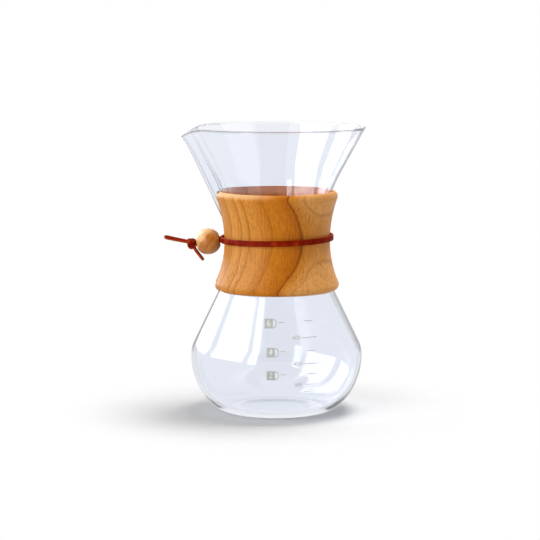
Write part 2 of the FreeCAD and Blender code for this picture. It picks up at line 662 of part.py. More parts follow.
def bead_profile(body):
    """Half the bead's section: a round outside, a straight bore and a countersink at each mouth."""
    sketch = new_sketch(body, "bead_profile", "XZ_Plane")
    ball, bore, mouth = size("bead_diameter") / 2, value(BEAD_BORE), value(BEAD_MOUTH)
    half = value(BEAD_HALF_LENGTH)
    straight = half - size("bead_mouth_depth")
    tilt = math.atan2(half, mouth)
    outside = arc(sketch, (0, 0), ball, -tilt, tilt)
    top_mouth = line(sketch, (mouth, half), (bore, straight))
    wall = line(sketch, (bore, straight), (bore, -straight))
    bottom_mouth = line(sketch, (bore, -straight), (mouth, -half))
    tied(sketch, "Coincident", outside, CENTRE, *ORIGIN_POINT)
    tied(sketch, "Coincident", outside, END, top_mouth, START)
    tied(sketch, "Coincident", top_mouth, END, wall, START)
    tied(sketch, "Coincident", wall, END, bottom_mouth, START)
    tied(sketch, "Coincident", bottom_mouth, END, outside, START)
    tied(sketch, "Vertical", wall)
    tied(sketch, "Vertical", outside, START, outside, END)
    tied(sketch, "Equal", top_mouth, bottom_mouth)
    bound(sketch, "ball", "Radius", (outside,), "sizes.bead_diameter / 2")
    bound(sketch, "bore", "DistanceX", (*ORIGIN_POINT, wall, START), BEAD_BORE)
    bound(sketch, "mouth", "DistanceX", (*ORIGIN_POINT, outside, END), BEAD_MOUTH)
    bound(sketch, "mouth_depth", "DistanceY", (top_mouth, END, top_mouth, START), "sizes.bead_mouth_depth")
    return sketch


def make_bead():
    body = new_body("bead")
    revolved(body, "Revolution", "turned_ball", bead_profile(body))
    doc.recompute()
    body.Placement = TIE_FRAME.multiply(
        FreeCAD.Placement(bead_centre(), FreeCAD.Rotation(UP, strand_direction()))
    )
    return body


# Leather thong. Its points are in a frame on the glass's axis at the thong's height, which sags
# towards the bead.

TIE_FRAME = FreeCAD.Placement(
    FreeCAD.Vector(0, 0, value("sizes.neck_height + sizes.tie_rise")),
    FreeCAD.Rotation(ACROSS, -size("tie_sag_angle")),
)


def strand_direction():
    """The way that the two strands leave the collar: outward and a little down."""
    slope = math.radians(size("strand_slope"))
    return FreeCAD.Vector(-math.cos(slope), 0, -math.sin(slope))


def fold(side):
    """One strand's fold off the collar: where it leaves the ring, its middle and where it ends."""
    ring = value(f"{COLLAR_WAIST_RADIUS} + sizes.thong_clearance + sizes.thong_thickness / 2")
    strand = value("(sizes.thong_thickness + sizes.strand_gap) / 2")
    leave = math.asin((size("fold_radius") + strand) / (ring + size("fold_radius")))
    start = FreeCAD.Vector(-ring * math.cos(leave), side * ring * math.sin(leave), 0)
    along = FreeCAD.Vector(-math.sin(leave), -side * math.cos(leave), 0)
    out = strand_direction()
    turn = math.acos(along.dot(out))
    inward = (out - along * math.cos(turn)) / math.sin(turn)
    radius = (ring * math.sin(leave) - strand) / (math.cos(leave) * math.tan(turn / 2))

    def at(angle):
        return start + along * (radius * math.sin(angle)) + inward * (radius * (1 - math.cos(angle)))

    return start, at(turn / 2), at(turn)


def strand_middle(distance):
    """A point midway between the strands, at a distance along them from the folds."""
    end = fold(1)[2]
    return FreeCAD.Vector(end.x, 0, end.z) + strand_direction() * distance


def bead_centre():
    return strand_middle(value(f"{BEAD_HALF_LENGTH} - sizes.fold_nest"))


def knot_face():
    """The middle of the knot's flat side, just past the bead."""
    return strand_middle(value(f"2 * {BEAD_HALF_LENGTH} - sizes.fold_nest + sizes.knot_gap"))


def thong_section(centre, wide, thin):
    """The thong's cut: a flat strip with rounded edges."""
    half_wide, half_thin = size("thong_width") / 2, size("thong_thickness") / 2
    rounding = min(size("thong_edge_round"), 0.45 * size("thong_thickness"))
    middle = rounding * (1 - math.sqrt(0.5))

    def at(u, v):
        return centre + wide * u + thin * v

    corners = []
    for u, v in ((1, 1), (-1, 1), (-1, -1), (1, -1)):
        on_wide = at(u * half_wide, v * (half_thin - rounding))
        on_thin = at(u * (half_wide - rounding), v * half_thin)
        bend = at(u * (half_wide - middle), v * (half_thin - middle))
        corners.append((on_wide, bend, on_thin) if u == v else (on_thin, bend, on_wide))
    edges = []
    for (first, bend, last), following in zip(corners, corners[1:] + corners[:1]):
        edges.append(Part.Arc(first, bend, last).toShape())
        edges.append(Part.LineSegment(last, following[0]).toShape())
    return Part.Wire(edges)


def swept_thong(name, edges, wide, thin):
    """The thong along a path of straight runs and tangent arcs, with its width kept one way."""
    path = Part.Wire(edges)
    section = thong_section(path.Edges[0].valueAt(path.Edges[0].FirstParameter), wide, thin)
    sweep = Part.BRepOffsetAPI.MakePipeShell(path)
    sweep.setBiNormalMode(wide)
    sweep.add(section)
    sweep.build()
    sweep.makeSolid()
    expected = Part.Face(section).Area * path.Length
    bends = [edge.Curve.Radius for edge in path.Edges if isinstance(edge.Curve, Part.Circle)]
    print(f"{name}: bend radii {', '.join(f'{radius:.1f}' for radius in bends)} mm")
    print(f"{name}: {sweep.shape().Volume:.1f} mm3 swept, {expected:.1f} as section by length")
    return placed(name, sweep.shape())


def placed(name, shape):
    feature = doc.addObject("Part::Feature", name)
    feature.Label = name
    feature.Shape = shape
    feature.Placement = TIE_FRAME
    return feature


def bent_path(start, corner, tip):
    """Two straight runs with a tangent arc between them."""
    back, on = (start - corner).normalize(), (tip - corner).normalize()
    half = math.acos(back.dot(on)) / 2
    shorter = min(start.distanceToPoint(corner), corner.distanceToPoint(tip))
    radius = min(size("tail_bend_radius"), 0.8 * shorter * math.tan(half))
    reach = radius / math.tan(half)
    middle = corner + (back + on).normalize() * (radius / math.sin(half) - radius)
    return [
        Part.LineSegment(start, corner + back * reach).toShape(),
        Part.Arc(corner + back * reach, middle, corner + on * reach).toShape(),
        Part.LineSegment(corner + on * reach, tip).toShape(),
    ]


def make_tie_loop():
    """From the knot through the bead, round the collar and back through the bead to the knot."""
    face_x = knot_face().x
    front_start, front_bend, front_end = fold(-1)
    back_start, back_bend, back_end = fold(1)
    ring = front_start.Length
    out = strand_direction()

    def at_knot(end):
        return end + out * ((face_x - end.x) / out.x)

    right = FreeCAD.Vector(ring, 0, 0)
    quarter = ring * math.sqrt(0.5)
    edges = [
        Part.LineSegment(at_knot(front_end), front_end).toShape(),
        Part.Arc(front_end, front_bend, front_start).toShape(),
        Part.Arc(front_start, FreeCAD.Vector(quarter, -quarter, 0), right).toShape(),
        Part.Arc(right, FreeCAD.Vector(quarter, quarter, 0), back_start).toShape(),
        Part.Arc(back_start, back_bend, back_end).toShape(),
        Part.LineSegment(back_end, at_knot(back_end)).toShape(),
    ]
    return swept_thong("tie_loop", edges, UP, ACROSS)


def wrap_band(centre, axis):
    """One turn of the thong round the knot: a flat ring with rounded edges."""
    half, reach, rounding = size("wrap_width") / 2, size("wrap_reach"), size("wrap_edge_round")
    inner = size("knot_end_radius") / 2
    out = axis.cross(ACROSS).normalize()
    corner = rounding * (1 - math.sqrt(0.5))

    def at(u, r):
        return centre + axis * u + out * r

    inside = [at(-half, inner), at(half, inner)]
    first = [at(half, reach - rounding), at(half - corner, reach - corner), at(half - rounding, reach)]
    second = [at(rounding - half, reach), at(corner - half, reach - corner), at(-half, reach - rounding)]
    edges = [
        Part.LineSegment(inside[1], first[0]).toShape(),
        Part.Arc(*first).toShape(),
        Part.LineSegment(first[2], second[0]).toShape(),
        Part.Arc(*second).toShape(),
        Part.LineSegment(second[2], inside[0]).toShape(),
        Part.LineSegment(*inside).toShape(),
    ]
    return Part.Face(Part.Wire(edges)).revolve(centre, axis, 360)


def make_tie_knot():
    """An overhand knot drawn tight: a barrel of folded thong with two turns crossing over it."""
    face = knot_face()
    length = size("knot_length")
    middle = face + OUTWARD * (length / 2)
    ends, belly = size("knot_end_radius"), size("knot_middle_radius")
    far_end = face + OUTWARD * length
    barrel_edges = [
        Part.LineSegment(face, face + UP * ends).toShape(),
        Part.Arc(face + UP * ends, middle + UP * belly, far_end + UP * ends).toShape(),
        Part.LineSegment(far_end + UP * ends, far_end).toShape(),
        Part.LineSegment(far_end, face).toShape(),
    ]
    barrel = Part.Face(Part.Wire(barrel_edges)).revolve(face, OUTWARD, 360)
    lean = math.radians(size("wrap_angle"))
    wraps = [
        wrap_band(middle, FreeCAD.Vector(-math.cos(lean), 0, math.sin(lean))),
        wrap_band(middle, FreeCAD.Vector(-math.cos(lean), 0, -math.sin(lean))),
    ]
    return placed("tie_knot", barrel.fuse(wraps).removeSplitter())


def make_long_tail():
    """The long free end: level out of the knot, then rising a little."""
    start = knot_face() + FreeCAD.Vector(-size("knot_length"), 0, size("long_tail_lift"))
    rise = math.radians(size("long_tail_rise"))
    level = start + FreeCAD.Vector(-size("long_tail_root"), 0, 0)
    tip = level + FreeCAD.Vector(-math.cos(rise), 0, math.sin(rise)) * size("long_tail_reach")
    return swept_thong("tie_long_tail", bent_path(start, level, tip), ACROSS, UP)


def make_short_tail():
    """The short free end: out of the knot's underside, close past the bead and down."""
    start = knot_face() + OUTWARD * (size("knot_length") / 2 - size("short_tail_root_along"))
    start -= UP * size("short_tail_root_below")
    to_bead = bead_centre() - start
    pass_by = value("sizes.bead_diameter / 2 + sizes.thong_thickness / 2 + sizes.short_tail_clearance")
    dip = math.atan2(to_bead.z, to_bead.x) - math.asin(pass_by / to_bead.Length)
    out = FreeCAD.Vector(math.cos(dip), 0, math.sin(dip))
    hang = math.radians(size("short_tail_hang"))
    bend = start + out * size("short_tail_root")
    tip = bend + FreeCAD.Vector(math.sin(hang), 0, -math.cos(hang)) * size("short_tail_reach")
    print(f"tie_short_tail leaves the knot {math.degrees(dip):.0f} degrees from level")
    return swept_thong("tie_short_tail", bent_path(start, bend, tip), ACROSS, out.cross(ACROSS))


parts = [
    make_glass(),
    make_collar_half("collar_front", -1),
    make_collar_half("collar_back", 1),
    make_bead(),
    make_tie_loop(),
    make_tie_knot(),
    make_long_tail(),
    make_short_tail(),
]
doc.recompute()
for item in doc.Objects:
    if "Invalid" in item.State or "Error" in item.State:
        raise RuntimeError(f"{item.Name} did not build: {item.State}")
for part in parts:
    if part.Shape.isNull() or not part.Shape.isValid() or len(part.Shape.Solids) != 1:
        raise RuntimeError(f"{part.Label} is not one sound solid")
os.makedirs("parts", exist_ok=True)
for part in parts:
    part.Shape.exportStep(f"parts/{part.Label}.step")
    print(f"{part.Label}: {part.Shape.Volume:.0f} mm3")
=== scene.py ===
import math

import bpy
from mathutils import Matrix, Vector


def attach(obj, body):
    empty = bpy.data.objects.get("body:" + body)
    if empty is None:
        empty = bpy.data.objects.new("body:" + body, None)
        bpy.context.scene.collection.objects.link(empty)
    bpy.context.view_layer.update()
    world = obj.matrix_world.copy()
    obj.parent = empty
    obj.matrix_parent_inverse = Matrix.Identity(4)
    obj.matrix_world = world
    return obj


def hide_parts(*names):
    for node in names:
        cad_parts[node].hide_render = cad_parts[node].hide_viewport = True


# An hourglass pour-over carafe of clear glass, with a wooden collar, a leather thong and a wooden
# bead. The pouring channel and the bead are on the -X side, and -Y is the front.

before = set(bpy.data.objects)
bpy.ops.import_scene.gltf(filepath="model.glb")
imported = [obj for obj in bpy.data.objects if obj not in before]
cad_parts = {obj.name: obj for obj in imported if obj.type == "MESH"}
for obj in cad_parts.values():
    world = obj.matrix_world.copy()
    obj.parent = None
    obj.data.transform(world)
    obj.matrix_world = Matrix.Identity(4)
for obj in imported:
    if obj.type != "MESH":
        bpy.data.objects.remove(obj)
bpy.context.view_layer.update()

MM = 0.001
scene = bpy.context.scene
scene.view_settings.view_transform = "Standard"


def linear(hex_colour):
    """An sRGB hex colour as linear RGBA."""
    channels = [int(hex_colour[i : i + 2], 16) / 255 for i in (1, 3, 5)]
    return (*(c / 12.92 if c <= 0.04045 else ((c + 0.055) / 1.055) ** 2.4 for c in channels), 1.0)


def add(tree, kind, inputs=None, stops=(), **settings):
    """Adds a node. Settings are its properties; inputs are plain values, or sockets to link from.

    Stops are a colour ramp's places and colours.
    """
    made = tree.nodes.new(kind)
    for name, setting in settings.items():
        setattr(made, name, setting)
    for name, source in (inputs or {}).items():
        if isinstance(source, bpy.types.NodeSocket):
            tree.links.new(source, made.inputs[name])
        else:
            made.inputs[name].default_value = source
    for count, (place, colour) in enumerate(stops):
        ramp = made.color_ramp.elements
        stop = ramp[count] if count < 2 else ramp.new(place)
        stop.position = place
        stop.color = linear(colour)
    return made


def new_material(name):
    """A material with no nodes yet, and its tree."""
    material = bpy.data.materials.new(name)
    material.use_nodes = True
    material.node_tree.nodes.clear()
    return material, material.node_tree


def finish_node(node_name, material):
    """Gives a CAD node its finish."""
    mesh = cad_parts[node_name].data
    mesh.materials.clear()
    mesh.materials.append(material)


def new_piece(name, corners, faces, material, smooth=True):
    """A mesh object with one finish, its corners in metres."""
    mesh = bpy.data.meshes.new(name)
    mesh.from_pydata(corners, [], faces)
    mesh.materials.append(material)
    for face in mesh.polygons:
        face.use_smooth = smooth
    piece = bpy.data.objects.new(name, mesh)
    scene.collection.objects.link(piece)
    return piece


def mark_corners(piece, name, shares):
    """Gives each corner of a piece a share that its finish can read."""
    marks = piece.data.attributes.new(name, "FLOAT", "POINT")
    marks.data.foreach_set("value", shares)


def mesh_of(curve):
    """A curve's mesh, in place of the curve."""
    carrier = bpy.data.objects.new(curve.name, curve)
    scene.collection.objects.link(carrier)
    bpy.context.view_layer.update()
    mesh = bpy.data.meshes.new_from_object(carrier)
    bpy.data.objects.remove(carrier)
    bpy.data.curves.remove(curve)
    return mesh


# Glass


def borosilicate_glass():
    """Blown borosilicate glass: clear, a little blue in depth, painted grey where seen edge on.

    The painted edge shade is darker on the bulb than on the funnel. The funnel was drawn thinner
    and fire-polished.
    """
    material, tree = new_material("borosilicate_glass")
    place = add(tree, "ShaderNodeTexCoord").outputs["Object"]
    height = add(tree, "ShaderNodeSeparateXYZ", {0: place}).outputs["Z"]
    drawn = add(tree, "ShaderNodeMapRange", {0: height, 1: 0.0, 2: 210 * MM})
    # Painted shade: the glass is painted grey where it is seen edge on, darker on the bulb than on
    # the funnel
    edge = add(
        tree,
        "ShaderNodeValToRGB",
        {"Fac": drawn.outputs[0]},
        stops=[
            (0.03, "#C4C9CF"),
            (0.16, "#80878F"),
            (0.55, "#767E88"),
            (0.8, "#A9AFB6"),
            (1.0, "#D4D8DC"),
        ],
    )
    edge_on = add(tree, "ShaderNodeLayerWeight", {"Blend": 0.5})
    edge_shade_mask = add(tree, "ShaderNodeMapRange", {0: edge_on.outputs["Facing"], 1: 0.74, 2: 0.97})
    clear = add(
        tree,
        "ShaderNodeMix",
        {0: edge_shade_mask.outputs[0], 6: linear("#F5F7FC"), 7: edge.outputs["Color"]},
        data_type="RGBA",
    )
    body = add(
        tree,
        "ShaderNodeBsdfPrincipled",
        {
            "Base Color": clear.outputs[2],
            "Roughness": 0.0,
            "IOR": 1.47,
            "Transmission Weight": 1.0,
        },
    )
    # The fire-polished rim is too fine to trap light: part of what meets it passes straight on
    rim = add(tree, "ShaderNodeAttribute", attribute_name="rim")
    straight = add(tree, "ShaderNodeBsdfTransparent")
    polished = add(
        tree,
        "ShaderNodeMixShader",
        {0: rim.outputs["Fac"], 1: body.outputs["BSDF"], 2: straight.outputs["BSDF"]},
    )
    # Lamp light passes the bulb dimmed, for a soft shadow, and the thinner funnel more freely
    passed = add(
        tree,
        "ShaderNodeValToRGB",
        {"Fac": drawn.outputs[0]},
        stops=[(0.4, "#A0A0A0"), (0.75, "#DADADA")],
    )
    lamp_light = add(tree, "ShaderNodeBsdfTransparent", {"Color": passed.outputs["Color"]})
    path = add(tree, "ShaderNodeLightPath")
    surface = add(
        tree,
        "ShaderNodeMixShader",
        {
            0: path.outputs["Is Shadow Ray"],
            1: polished.outputs["Shader"],
            2: lamp_light.outputs["BSDF"],
        },
    )
    depth = add(tree, "ShaderNodeVolumeAbsorption", {"Color": linear("#A6B0CB"), "Density": 24.0})
    add(
        tree,
        "ShaderNodeOutputMaterial",
        {"Surface": surface.outputs["Shader"], "Volume": depth.outputs["Volume"]},
    )
    return material


glass = borosilicate_glass()

# The blown shell, in millimetres: the CAD solid's own arcs, with a heavier heel, a funnel that
# thins towards its rim, a round rim and the faint waves of blown glass

RIM_HEIGHT, RIM_RADIUS, NECK_HEIGHT, NECK_RADIUS, WALL = 219.0, 68.8, 132.0, 36.4, 2.4
RIM_THINNER, RIM_CAP, RIM_ROUND, RIM_CLEAR = 0.9, 1.0, 0.95, 0.5
HEEL_RADIUS, HEEL_HEIGHT, HEEL_THICKER = 47, 4, 0.5
# How far the heel's extra glass spreads, squared
HEEL_SPREAD_OUT, HEEL_SPREAD_UP = 110, 70
FUNNEL, FLANK = math.radians(28.56), math.radians(25.7)
UPPER_ARC, LOWER_ARC = 107.96, 96.17
# The pouring channel: its nose's radius and its blends' radius grow from the waist to the rim
CHANNEL_START, BEAK_START, FIRST_CLIMB = 137.6, 200.0, 0.03
BLEND_AT_WAIST, NOSE_AT_WAIST = 7.6, 3.2
NOSE_LOW, NOSE_GROWTH, BLEND_LOW, BLEND_GROWTH = 4.0, 5.5, 6.0, 44.0
BEAK_PROUD, BEAK_FLARE = 6.25, 5.0
DIP_BEND, DIP, DIP_INSET = 25.0, math.radians(30), 14.8
WAVE_OUTSIDE, WAVE_INSIDE = 0.0, 1.9
AROUND, BLEND_BACK, NOSE, BLEND_FRONT = range(4)
PART_STEPS = {AROUND: 184, BLEND_BACK: 8, NOSE: 12, BLEND_FRONT: 8}
COLUMNS = [(part, step / steps) for part, steps in PART_STEPS.items() for step in range(steps)]


def smooth_step(share):
    """From 0 to 1, with a level start and end."""
    share = min(max(share, 0.0), 1.0)
    return share * share * (3 - 2 * share)


def bulb_line():
    """The bulb's outside from the middle of its base up to the waist: radius, height and normal."""
    line = []

    def arc(x, z, radius, start, end, steps, hollow=False):
        side = -1 if hollow else 1
        for step in range(steps):
            turn = math.radians(start + (end - start) * step / steps)
            out = Vector((math.cos(turn), math.sin(turn)))
            line.append((x + radius * out.x, z + radius * out.y, side * out.x, side * out.y))

    # Hollow of the base, and the ring that it stands on
    arc(0, -128.9, 131.9, 89.9, 77.76, 12, hollow=True)
    for step in range(4):
        line.append((27.97 + 6.5 * step / 4, 0.0, 0.0, -1.0))
    # Heel, lower bulb, shoulder, straight flank and waist
    arc(34.47, 24, 24, -90, -41.2, 20)
    arc(12.2, 43.5, 53.6, -41.2, 0, 24)
    arc(41.8, 43.5, 24, 0, 25.7, 10)
    leave, meet = Vector((63.426, 53.908)), Vector((45.914, 90.297))
    for step in range(12):
        point = leave.lerp(meet, step / 12)
        line.append((point.x, point.y, math.cos(FLANK), math.sin(FLANK)))
    arc(NECK_RADIUS + LOWER_ARC, NECK_HEIGHT, LOWER_ARC, 205.7, 180, 14, hollow=True)
    return line


BULB = bulb_line()


def wall_radius(height, inset):
    """The funnel's round wall, an inset further in than its outside."""
    rise, bend = height - NECK_HEIGHT, UPPER_ARC + inset
    level = NECK_RADIUS + UPPER_ARC
    if rise < bend * math.sin(FUNNEL):
        return level - math.sqrt(bend**2 - rise**2)
    return level - bend * math.cos(FUNNEL) + (rise - bend * math.sin(FUNNEL)) * math.tan(FUNNEL)


def round_point(part, share, radius, height):
    """A point of a round row, parted in the same columns as the channel's sections."""
    blend = math.pi - math.asin(BLEND_AT_WAIST / NECK_RADIUS)
    nose = math.pi - math.asin(NOSE_AT_WAIST / NECK_RADIUS)
    start, end = (
        (-blend, blend),
        (blend, nose),
        (nose, 2 * math.pi - nose),
        (2 * math.pi - nose, 2 * math.pi - blend),
    )[part]
    turn = start + (end - start) * share
    return Vector((radius * math.cos(turn), radius * math.sin(turn), height))


def channel_point(part, share, height, inset):
    """A point of the funnel's level section: round wall, hollow blend, channel's nose, blend."""
    climb = (height - CHANNEL_START) / (RIM_HEIGHT - CHANNEL_START)
    flare = BEAK_FLARE * max(0.0, (height - BEAK_START) / (RIM_HEIGHT - BEAK_START)) ** 2
    nose = NOSE_LOW + NOSE_GROWTH * climb
    reach = NECK_RADIUS + climb * (RIM_RADIUS + BEAK_PROUD - NECK_RADIUS) + flare - nose
    nose -= inset
    wall, blend = wall_radius(height, inset), BLEND_LOW + BLEND_GROWTH * climb**3 + inset
    to_blend, nose_to_blend = wall + blend, nose + blend
    wall_angle = math.acos((to_blend**2 + reach**2 - nose_to_blend**2) / (2 * to_blend * reach))
    blend_x, blend_y = -to_blend * math.cos(wall_angle), to_blend * math.sin(wall_angle)
    nose_angle = math.atan2(blend_y, blend_x + reach)
    x, y, radius, start, end = (
        (0, 0, wall, wall_angle - math.pi, math.pi - wall_angle),
        (blend_x, blend_y, blend, -wall_angle, nose_angle - math.pi),
        (-reach, 0, nose, nose_angle, 2 * math.pi - nose_angle),
        (blend_x, -blend_y, blend, math.pi - nose_angle, wall_angle),
    )[part]
    turn = start + (end - start) * share
    return Vector((x + radius * math.cos(turn), y + radius * math.sin(turn), height))


def funnel_point(part, share, height, inset):
    """A point of the funnel, whose channel grows out of the round waist."""
    first = CHANNEL_START + FIRST_CLIMB * (RIM_HEIGHT - CHANNEL_START)
    if height >= first:
        return channel_point(part, share, height, inset)
    wall = wall_radius(height, inset)
    grown = channel_point(part, share, first, inset) * (wall / wall_radius(first, inset))
    grown.z = height
    grow = smooth_step((height - NECK_HEIGHT) / (first - NECK_HEIGHT))
    return round_point(part, share, wall, height).lerp(grown, grow)


def rim_height(x):
    """The rim is level, and dips in a bend towards the beak's tip."""
    past, bent = -x - (RIM_RADIUS - DIP_INSET), DIP_BEND * math.sin(DIP)
    if past <= 0:
        return RIM_HEIGHT
    if past <= bent:
        return RIM_HEIGHT - DIP_BEND + math.sqrt(DIP_BEND**2 - past**2)
    return RIM_HEIGHT - DIP_BEND * (1 - math.cos(DIP)) - (past - bent) * math.tan(DIP)


def wavy(point, phase):
    """A point moved inward by up to about a third of a millimetre, in slow waves."""
    long_wave, short_wave, inward, calm_radius = 0.10, 0.06, 0.2, 30.0
    turn = math.atan2(point.y, point.x)
    wave = long_wave * math.sin(2 * turn + 0.021 * point.z + phase) - inward
    wave += short_wave * math.sin(3 * turn - 0.047 * point.z + 2.3 * phase)
    level = math.hypot(point.x, point.y)
    return point + Vector((point.x, point.y, 0)) * (wave / max(level, calm_radius))


def make_shell():
    """The carafe as one closed skin: up its outside, over its rim and down its inside."""
    funnel_steps, rim_steps = 56, 9
    # Each column's top, found by halving its way to where it meets the dipped rim
    tops = []
    for part, share in COLUMNS:
        top = RIM_HEIGHT
        for _ in range(30):
            top = (top + rim_height(channel_point(part, share, top, WALL / 4).x)) / 2
        tops.append(top - RIM_CAP)
    outside, inside = [], []
    for x, z, normal_x, normal_z in BULB:
        out, up = x - HEEL_RADIUS, z - HEEL_HEIGHT
        from_heel = out**2 / HEEL_SPREAD_OUT + up**2 / HEEL_SPREAD_UP
        thick = WALL + HEEL_THICKER * math.exp(-from_heel)
        outside.append([round_point(*column, x, z) for column in COLUMNS])
        inner = (max(x - thick * normal_x, 0.05), z - thick * normal_z)
        inside.append([round_point(*column, *inner) for column in COLUMNS])
    for step in range(funnel_steps + 1):
        outer_row, inner_row = [], []
        for column, top in zip(COLUMNS, tops):
            height = NECK_HEIGHT + (top - NECK_HEIGHT) * step / funnel_steps
            thinned = RIM_THINNER * step / funnel_steps
            outer_row.append(funnel_point(*column, height, 0.0))
            inner_row.append(funnel_point(*column, height, WALL - thinned))
        outside.append(outer_row)
        inside.append(inner_row)
    outside = [[wavy(point, WAVE_OUTSIDE) for point in row] for row in outside]
    inside = [[wavy(point, WAVE_INSIDE) for point in row] for row in inside]
    over = []
    for step in range(1, rim_steps):
        turn = math.pi * step / rim_steps
        row = []
        for index in range(len(COLUMNS)):
            outer, inner = outside[-1][index], inside[-1][index]
            upward = (outer - outside[-3][index]).normalized()
            half = (outer - inner) / 2
            across = half * math.cos(turn)
            rise = upward * (half.length * RIM_ROUND * math.sin(turn))
            row.append((outer + inner) / 2 + across + rise)
        over.append(row)
    rows = outside + over + inside[::-1]
    width = len(COLUMNS)
    corners = [point * MM for row in rows for point in row]
    faces = []
    for row in range(len(rows) - 1):
        for column in range(width):
            beside = (column + 1) % width
            low, high = row * width, (row + 1) * width
            faces.append((low + column, low + beside, high + beside, high + column))
    last = (len(rows) - 1) * width
    faces.append(tuple(reversed(range(width))))
    faces.append(tuple(range(last, last + width)))
    piece = new_piece("blown_carafe", corners, faces, glass)
    first, after = len(outside) - 1, len(outside) + len(over) + 1
    on_rim = [first <= row < after for row in range(len(rows)) for _ in COLUMNS]
    mark_corners(piece, "rim", [RIM_CLEAR * here for here in on_rim])
    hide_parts("glass_carafe")
    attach(piece, "carafe")


make_shell()

# Measuring scale, printed on the bulb's front. A mark's place is millimetres right of the middle
# and up from the floor.

INK_PROUD, INK_DEPTH, INK_STEP = 0.02, 0.06, 0.7


def ceramic_ink(name, colour, wear_and_highlight):
    """Fired print: chalky, thin, and a little uneven where it has been washed.

    The washed patches are drawn 1.1 mm wide, coarser than real ones, so that they show.
    """
    patch = 1.1 * MM
    material, tree = new_material(name)
    place = add(tree, "ShaderNodeTexCoord").outputs["Object"]
    wash = add(tree, "ShaderNodeTexNoise", {"Vector": place, "Scale": 1 / patch, "Detail": 3.0})
    uneven = add(
        tree, "ShaderNodeValToRGB", {"Fac": wash.outputs[0]}, stops=[(0.35, colour), (0.7, wear_and_highlight)]
    )
    body = add(
        tree,
        "ShaderNodeBsdfPrincipled",
        {"Base Color": uneven.outputs["Color"], "Roughness": 0.6, "Specular IOR Level": 0.2},
    )
    add(tree, "ShaderNodeOutputMaterial", {"Surface": body.outputs["BSDF"]})
    return material


def on_bulb(x, z, proud):
    """A place on the front of the bulb, in metres."""
    upright = [(height, radius) for radius, height, _, _ in BULB if height > 2]
    for (low, narrow), (high, wide) in zip(upright, upright[1:]):
        if low <= z <= high:
            radius = narrow + (wide - narrow) * (z - low) / (high - low)
            glass_point = wavy(Vector((x, -math.sqrt(radius**2 - x**2), z)), WAVE_OUTSIDE)
            return glass_point * (1 + proud / radius) * MM
    raise ValueError(f"{z} is not on the bulb")


def ink_sheet(ink, grid):
    """Adds a closed thin sheet of ink that follows the glass, from a grid of places."""
    corners, faces = ink
    start, rows, columns = len(corners), len(grid), len(grid[0])
    layer = rows * columns
    for proud in (INK_PROUD, INK_PROUD + INK_DEPTH):
        corners += [on_bulb(x, z, proud) for row in grid for x, z in row]

    def corner(row, column, front):
        return start + front * layer + row * columns + column

    for row in range(rows - 1):
        for column in range(columns - 1):
            ring = [(row, column), (row, column + 1), (row + 1, column + 1), (row + 1, column)]
            faces.append([corner(*place, 1) for place in ring])
            faces.append([corner(*place, 0) for place in reversed(ring)])
    border = [(0, column) for column in range(columns)]
    border += [(row, columns - 1) for row in range(1, rows)]
    border += [(rows - 1, column) for column in range(columns - 2, -1, -1)]
    border += [(row, 0) for row in range(rows - 2, 0, -1)]
    for one, following in zip(border, border[1:] + border[:1]):
        side = (one, 0), (following, 0), (following, 1), (one, 1)
        faces.append([corner(*place, front) for place, front in side])


def ink_bar(ink, left, right, low, high):
    """A box or line of ink."""
    columns, rows = math.ceil((right - left) / INK_STEP), math.ceil((high - low) / INK_STEP)
    across = [left + (right - left) * step / columns for step in range(columns + 1)]
    upward = [low + (high - low) * step / rows for step in range(rows + 1)]
    ink_sheet(ink, [[(x, z) for x in across] for z in upward])


def ink_handle(ink, x, z, half):
    """The bow of a cup's handle, right of its box."""
    steps, outer, inner = 14, (half * 0.66, half * 0.9), (half * 0.5, half * 0.72)
    turns = [math.pi / 2 - math.pi * step / steps for step in range(steps + 1)]
    bows = []
    for reach, tall in (outer, inner):
        bows.append([(x + reach * math.cos(t), z + tall * math.sin(t)) for t in turns])
    ink_sheet(ink, bows)


def ink_text(ink, text, x, z, size):
    """Figures whose middle is at a place."""
    corners, faces = ink
    curve = bpy.data.curves.new("figures", "FONT")
    curve.body = text
    curve.size = size
    curve.align_x = "CENTER"
    curve.align_y = "CENTER"
    curve.extrude = INK_DEPTH / 2
    curve.resolution_u = 4
    mesh = mesh_of(curve)
    start = len(corners)
    for vertex in mesh.vertices:
        u, v, w = vertex.co
        corners.append(on_bulb(x + u, z + v, INK_PROUD + INK_DEPTH / 2 + w))
    faces += [[start + index for index in face.vertices] for face in mesh.polygons]
    bpy.data.meshes.remove(mesh)


